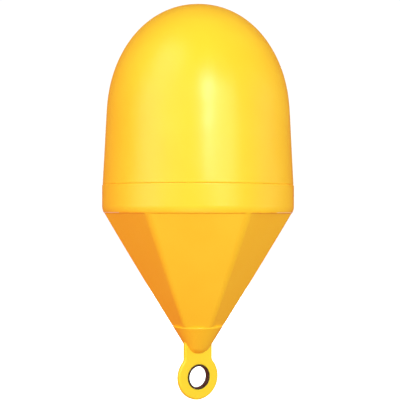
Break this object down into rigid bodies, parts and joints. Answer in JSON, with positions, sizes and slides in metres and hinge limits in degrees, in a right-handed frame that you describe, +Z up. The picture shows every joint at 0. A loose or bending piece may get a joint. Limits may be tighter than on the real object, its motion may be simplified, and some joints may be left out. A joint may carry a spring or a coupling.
{
  "type": "navigation buoy",
  "caption": "Yellow marker buoy: a domed upper shell and a faceted cone joined at a waterline band, with a moulded mooring eye lined by a dark bushing below the nose.",
  "frame": {"origin": "on the buoy's axis, in the plane of the waterline band's lower edge", "axes": "+Z up the buoy's axis towards the dome; Y along the bore of the mooring eye"},
  "size_m": [0.4, 0.4, 0.8246],
  "materials": {
    "shell_yellow": "satin moulded polyethylene, golden yellow",
    "eye_yellow": "satin moulded polyethylene, lighter yellow",
    "bushing_dark": "dark brown nylon, worn smooth"
  },
  "bodies": {
    "root": {"dome_shell": "shell_yellow", "waterline_band": "shell_yellow", "cone_shell": "shell_yellow", "nose_cap": "shell_yellow", "mooring_eye": "eye_yellow", "eye_bushing": "bushing_dark"}
  },
  "joints": []
}
